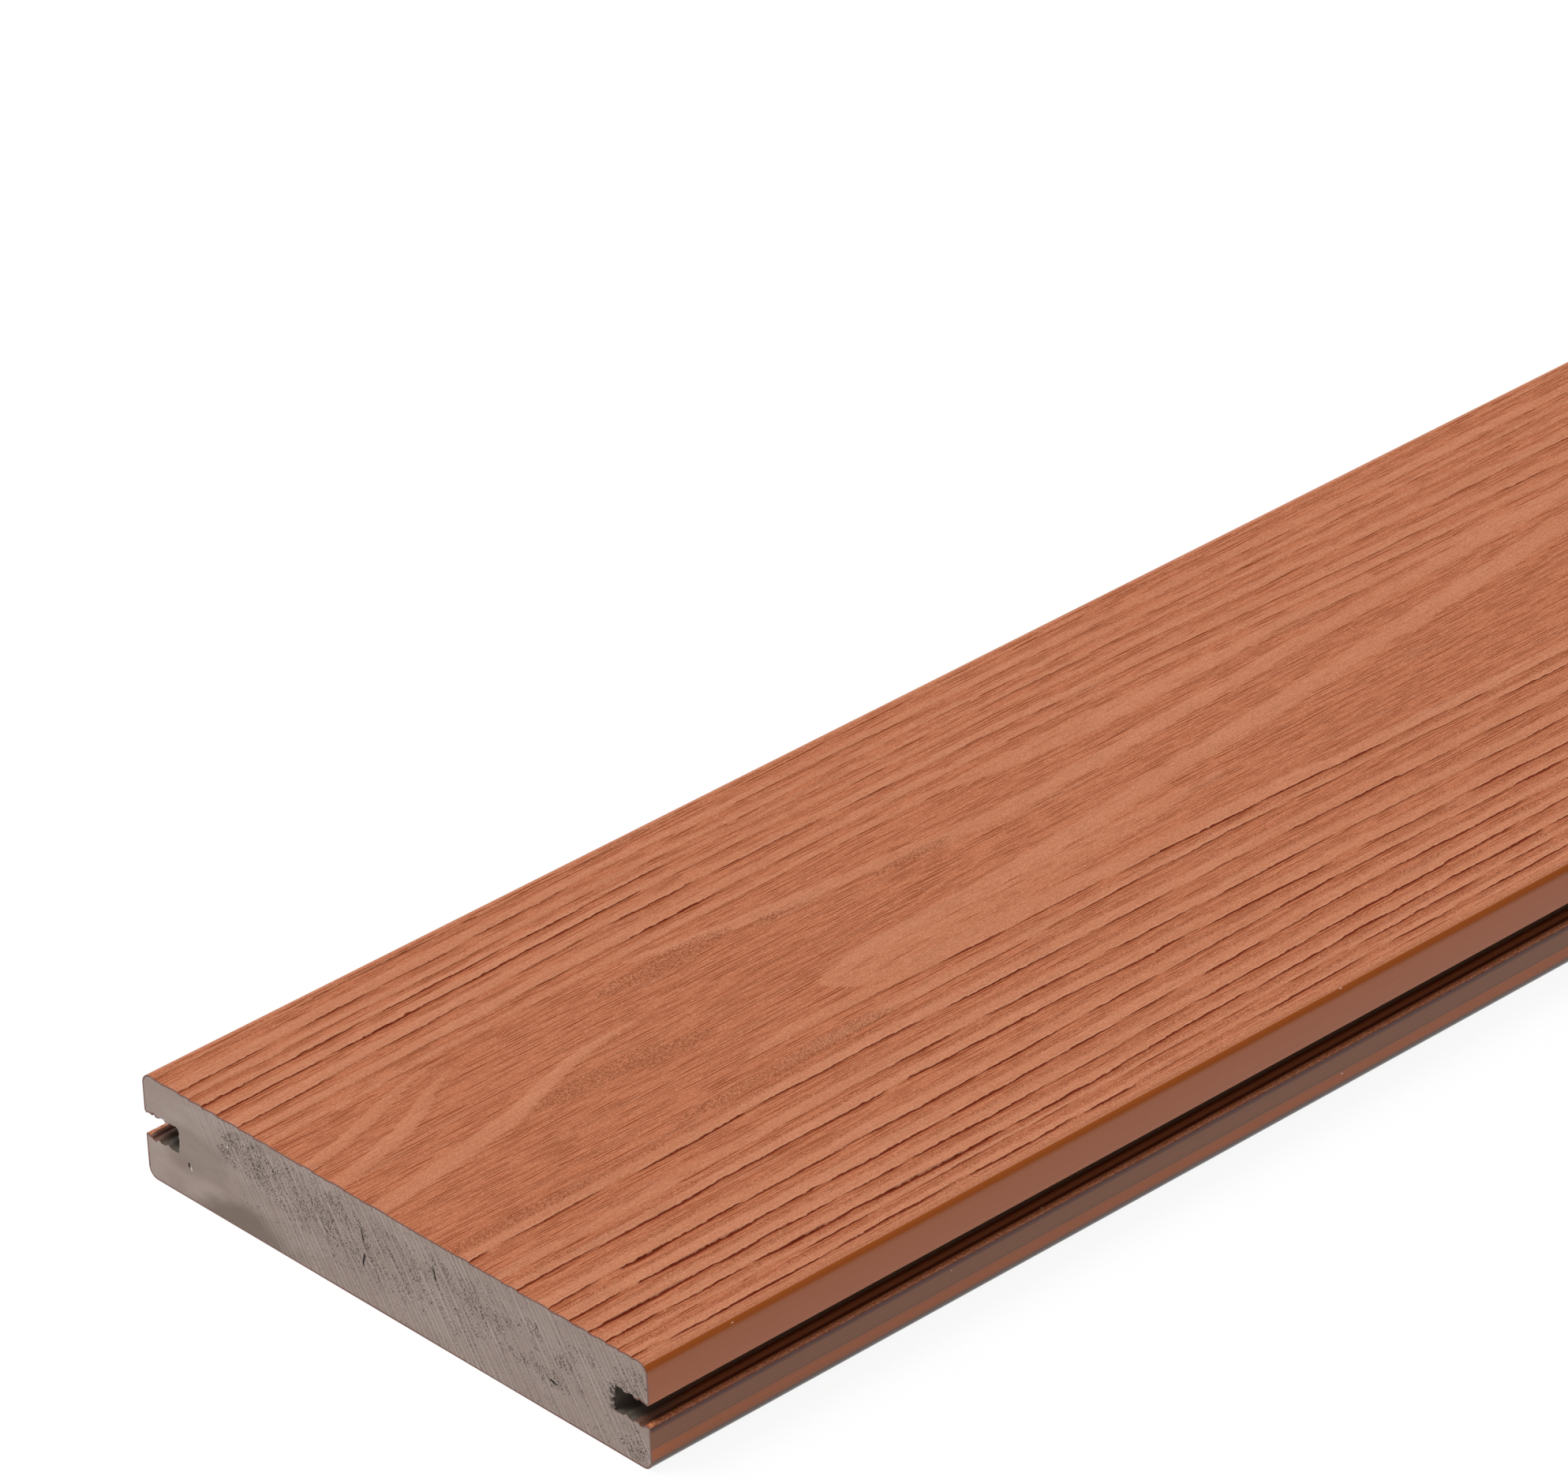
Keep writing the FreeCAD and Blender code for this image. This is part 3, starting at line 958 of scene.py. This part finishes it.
# Painted shade inside the pores, the tears and the cracks
PORE_SHADE_COLOUR = (0.040, 0.026, 0.017)
CRACK_SHADE_COLOUR = (0.012, 0.009, 0.007)
CORE_ROUGHNESS = 0.75
CORE_GLOSS = 0.25

# How strongly the saw's marks and the pores colour it, and how deep they and the cracks are
MARK_SHARE = 0.4
MARK_DEPTH = 0.02
PALE_MARK_SHARE = 0.62
PORE_SHARE = 0.95
PORE_DEPTH = 0.06
CRACK_DEPTH = 0.5

# Saw marks run down the end at this angle, this far apart
SAW_ANGLE = math.radians(57.0)
SAW_PITCH = 1.25

# Cracks, and the pale chips beside them: distance from the +Y edge, height, half length, half width and
# angle from the vertical. Between them, how deep and how high the back of the -Y groove is torn
CRACKS = (
    (62.2, 15.0, 1.5, 0.15, -12.0),
    (62.2, 9.7, 1.6, 0.24, 14.0),
    (82.4, 15.3, 1.8, 0.2, -14.0),
    (113.8, 7.2, 1.1, 0.24, -76.0),
    (12.3, 7.7, 0.5, 0.28, 0.0),
)
TORN_DEPTHS = (8.4, 10.6)
TORN_HEIGHTS = (9.0, 14.6)
PALE_CHIPS = (
    (12.85, 7.3, 0.6, 0.12, -8.0),
    (24.2, 17.0, 0.3, 0.2, 0.0),
)

# Patches of pores, and the brown smears: distance from the +Y edge, height, half width, half height, weight
PORE_PATCHES = (
    (32.0, 17.0, 12.0, 5.0, 1.0),
    (50.0, 13.5, 24.0, 7.5, 0.95),
    (72.0, 12.5, 50.0, 9.5, 0.76),
    (117.0, 11.5, 24.0, 9.5, 0.58),
    (86.0, 9.0, 40.0, 2.2, 0.85),
    (99.0, 13.5, 5.0, 3.0, 1.0),
    (113.0, 8.0, 6.0, 3.0, 1.0),
    (110.0, 16.6, 5.0, 2.0, 1.0),
    (121.5, 16.4, 5.0, 2.2, 1.0),
    (117.0, 12.6, 3.0, 2.4, 0.9),
    (135.0, 15.0, 5.0, 7.0, 0.9),
    (134.0, 4.5, 5.0, 4.5, 0.9),
)
SMEARS = (
    (29.0, 0.5, 15.0, 5.0, 0.8),
    (13.0, 11.0, 10.0, 5.0, 0.4),
)


def core_material():
    """The sawn foam of the ends: saw marks, pores, cracks and smears."""
    n = Nodes("sawn_core")
    across = n.math("SUBTRACT", HALF_WIDTH, n.y)
    cut = n.math("MULTIPLY_ADD", across, math.sin(SAW_ANGLE), n.times(n.z, math.cos(SAW_ANGLE)))
    run = n.math("MULTIPLY_ADD", across, math.cos(SAW_ANGLE), n.times(n.z, -math.sin(SAW_ANGLE)))
    sawn = n.join(run, cut)
    flat = n.join(across, n.z)
    drift = n.math("SUBTRACT", n.noise((9.0, 5.0, 1.0), 2.0, 2.0, flat), 0.5)
    ragged = n.math("MULTIPLY", n.math("SUBTRACT", n.noise((0.8, 0.6, 1.0), 2.0, 9.0, flat), 0.5), 1.6)

    def patches(spread):
        """Soft patches with wandering edges."""
        best = 0.0
        for centre, height, half_across, half_up, weight in spread:
            offset = n.vector("SUBTRACT", flat, (centre, height, 0.0))
            gap = n.length(n.vector("DIVIDE", offset, (half_across, half_up, 1.0)))
            best = n.most(n.step(n.math("MULTIPLY_ADD", drift, 1.2, gap), 0.6, 1.3, weight, 0.0), best)
        return best

    def lenses(places):
        """Narrow marks with ragged edges."""
        best = 0.0
        for centre, height, half_long, half_wide, angle in places:
            turned = n.turn(n.vector("SUBTRACT", flat, (centre, height, 0.0)), math.radians(angle))
            gap = n.length(n.vector("DIVIDE", turned, (half_wide, half_long, 1.0)))
            best = n.most(n.step(n.math("ADD", gap, ragged), 0.7, 1.2, 1.0, 0.0), best)
        return best

    # The saw's marks, and the pores in rows along them, which are painted in shade
    rough_part = n.step(n.math("MULTIPLY_ADD", n.z, 1.1, across), 30.0, 46.0)
    shaded = n.step(across, 60.0, 140.0, 0.0, 0.65)
    wobble = n.times(n.noise((20.0, 3.0, 1.0), 1.0, 3.0, sawn), 9.0)
    comb = n.math("SINE", n.math("MULTIPLY_ADD", cut, 2.0 * math.pi / SAW_PITCH, wobble))
    streaks = n.noise((30.0, 0.8, 1.0), 2.0, 6.0, sawn)
    marks = n.times(n.step(comb, -0.4, 0.9), n.step(streaks, 0.3, 0.6), rough_part)
    pale_marks = n.times(n.step(comb, -0.9, -0.5, 1.0, 0.0), n.step(streaks, 0.4, 0.65), rough_part)
    rows = n.step(n.noise((7.0, 1.1, 1.0), 2.0, 8.0, sawn), 0.42, 0.58, 0.5, 1.0)
    porous = n.times(n.most(patches(PORE_PATCHES), n.times(rough_part, 0.5)), rows)
    fine = n.noise((0.28, 0.19, 1.0), 1.0, 4.0, sawn)
    fine = n.math("SUBTRACT", fine, n.step(porous, 0.0, 1.0, 0.75, 0.54))
    large = n.noise((0.9, 0.5, 1.0), 2.0, 1.0, sawn)
    large = n.math("SUBTRACT", large, n.step(porous, 0.0, 1.0, 0.85, 0.65))
    pores = n.most(n.step(fine, 0.0, 0.05), n.step(large, 0.0, 0.05))

    # Tears beside the grooves, with painted shade in their hollows, the cracks, painted in shade, and the
    # chips
    from_edge = n.math("ADD", n.y, HALF_WIDTH)
    torn = n.times(n.between(from_edge, *TORN_DEPTHS, 0.5), n.between(n.z, *TORN_HEIGHTS, 0.4))
    curls = n.step(n.noise((0.9, 0.6, 1.0), 2.0, 5.0, flat), 0.44, 0.56)
    cracked = lenses(CRACKS)
    chipped = lenses(PALE_CHIPS)

    tone = n.noise((16.0, 5.0, 1.0), 3.0, 1.0, flat)
    colour = n.mix(n.step(tone, 0.3, 0.7), CORE_COLOUR, CORE_LIGHT)
    colour = n.mix(shaded, colour, CORE_COLOUR)
    colour = n.mix(patches(SMEARS), colour, CORE_SMEAR)
    colour = n.mix(n.times(marks, MARK_SHARE), colour, CORE_BROWN)
    colour = n.mix(n.times(pale_marks, PALE_MARK_SHARE), colour, CORE_PALE)
    colour = n.mix(n.times(torn, n.step(curls, 0.0, 1.0, 0.75, 0.0)), colour, PORE_SHADE_COLOUR)
    colour = n.mix(n.times(pores, PORE_SHARE), colour, PORE_SHADE_COLOUR)
    colour = n.mix(cracked, colour, CRACK_SHADE_COLOUR)
    colour = n.mix(chipped, colour, CORE_CHIP)
    height = n.times(marks, -MARK_DEPTH)
    height = n.math("MULTIPLY_ADD", pores, -PORE_DEPTH, height)
    height = n.math("MULTIPLY_ADD", n.times(torn, curls), 0.4, height)
    height = n.math("MULTIPLY_ADD", cracked, -CRACK_DEPTH, height)
    height = n.math("MULTIPLY_ADD", n.noise((0.5, 0.5, 1.0), 2.0, 3.0, flat), 0.05, height)
    n.surface(colour, CORE_ROUGHNESS)
    n.shader.inputs["Specular IOR Level"].default_value = CORE_GLOSS
    n.bump(height)
    return n.material


# The studio, in metres: a floor just clear of the board, a room with a darker side, and one soft lamp
FLOOR_HALF = 40.0
FLOOR_DROP = 0.02 * MM
FLOOR_GREY = 0.95
FLOOR_GLOW = 0.91
WORLD_LEVEL = 0.62
WORLD_DARK = 0.06
DARK_SIDE = (0.70, -0.62, 0.26)
DARK_FROM, DARK_TO = 0.66, 0.88
SUN_LEVEL = 2.02
SUN_ANGLE = math.radians(25.0)
SUN_FROM = (-0.3, 0.32, 0.9)


def make_floor():
    """A white table. Seen directly or in a gloss it is part lit by itself, so that it stays white and
    keeps a soft shadow."""
    mesh = bpy.data.meshes.new("floor")
    corners = [(-1, -1), (1, -1), (1, 1), (-1, 1)]
    points = [(x * FLOOR_HALF, y * FLOOR_HALF, -FLOOR_DROP) for x, y in corners]
    mesh.from_pydata(points, [], [(0, 1, 2, 3)])
    floor = bpy.data.objects.new("floor", mesh)
    bpy.context.scene.collection.objects.link(floor)
    n = Nodes("white_table")
    rays = n.tree.nodes.new("ShaderNodeLightPath").outputs
    seen = n.most(rays["Is Camera Ray"], rays["Is Glossy Ray"], rays["Is Transmission Ray"])
    matt = n.tree.nodes.new("ShaderNodeBsdfDiffuse")
    matt.inputs["Color"].default_value = (FLOOR_GREY, FLOOR_GREY, FLOOR_GREY, 1.0)
    glow = n.tree.nodes.new("ShaderNodeEmission")
    both = n.tree.nodes.new("ShaderNodeMixShader")
    parts = (n.times(seen, FLOOR_GLOW), matt.outputs["BSDF"], glow.outputs["Emission"])
    for socket, value in zip(both.inputs, parts):
        n.put(socket, value)
    n.put(n.tree.nodes["Material Output"].inputs["Surface"], both.outputs["Shader"])
    n.tree.nodes.remove(n.shader)
    mesh.materials.append(n.material)


def make_lights():
    """A pale room, darker towards the front right, and one soft high lamp from behind."""
    world = bpy.data.worlds.new("studio")
    bpy.context.scene.world = world
    world.use_nodes = True
    tree = world.node_tree
    place = tree.nodes.new("ShaderNodeTexCoord")
    toward = tree.nodes.new("ShaderNodeVectorMath")
    toward.operation = "DOT_PRODUCT"
    toward.inputs[1].default_value = Vector(DARK_SIDE).normalized()
    tree.links.new(place.outputs["Generated"], toward.inputs[0])
    level = tree.nodes.new("ShaderNodeMapRange")
    level.interpolation_type = "SMOOTHSTEP"
    for name, value in (("From Min", DARK_FROM), ("From Max", DARK_TO),
                        ("To Min", WORLD_LEVEL), ("To Max", WORLD_DARK)):
        level.inputs[name].default_value = value
    tree.links.new(toward.outputs["Value"], level.inputs["Value"])
    background = tree.nodes["Background"]
    background.inputs["Color"].default_value = (1.0, 1.0, 1.0, 1.0)
    tree.links.new(level.outputs["Result"], background.inputs["Strength"])

    lamp = bpy.data.lights.new("key", "SUN")
    lamp.energy = SUN_LEVEL
    lamp.angle = SUN_ANGLE
    key = bpy.data.objects.new("key", lamp)
    bpy.context.scene.collection.objects.link(key)
    key.rotation_mode = "QUATERNION"
    key.rotation_quaternion = Vector(SUN_FROM).to_track_quat("Z", "Y")


def make_camera():
    """The photograph's camera, placed so that the board's near right top corner falls on its pixel."""
    azimuth, elevation, roll = VIEW_AZIMUTH, VIEW_ELEVATION, VIEW_ROLL
    back = Vector((math.sin(azimuth) * math.cos(elevation), -math.cos(azimuth) * math.cos(elevation),
                   math.sin(elevation)))
    level = Vector((math.cos(azimuth), math.sin(azimuth), 0.0))
    upright = back.cross(level)
    right = level * math.cos(roll) + upright * math.sin(roll)
    up = upright * math.cos(roll) - level * math.sin(roll)
    corner = Vector((-LENGTH / 2.0, -HALF_WIDTH, THICKNESS))
    across = (CORNER_PIXEL[0] - IMAGE_SIZE[0] / 2.0) / FOCAL_PIXELS * VIEW_DISTANCE
    down = (CORNER_PIXEL[1] - IMAGE_SIZE[1] / 2.0) / FOCAL_PIXELS * VIEW_DISTANCE
    place = corner - right * across + up * down + back * VIEW_DISTANCE
    data = bpy.data.cameras.new("camera")
    data.sensor_fit = "HORIZONTAL"
    data.sensor_width = SENSOR_WIDTH
    data.lens = FOCAL_PIXELS / IMAGE_SIZE[0] * SENSOR_WIDTH
    data.clip_end = CAMERA_REACH
    camera = bpy.data.objects.new("camera", data)
    bpy.context.scene.collection.objects.link(camera)
    turn = Matrix((right, up, back)).transposed().to_4x4()
    camera.matrix_world = Matrix.Translation(place * MM) @ turn
    bpy.context.scene.camera = camera


def main():
    board = make_board()
    for material in (grain_material(), smooth_material(), core_material()):
        board.data.materials.append(material)
    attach(board, "root")
    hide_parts(NODE)
    make_floor()
    make_lights()
    make_camera()
    bpy.context.scene.view_settings.view_transform = "Standard"


main()
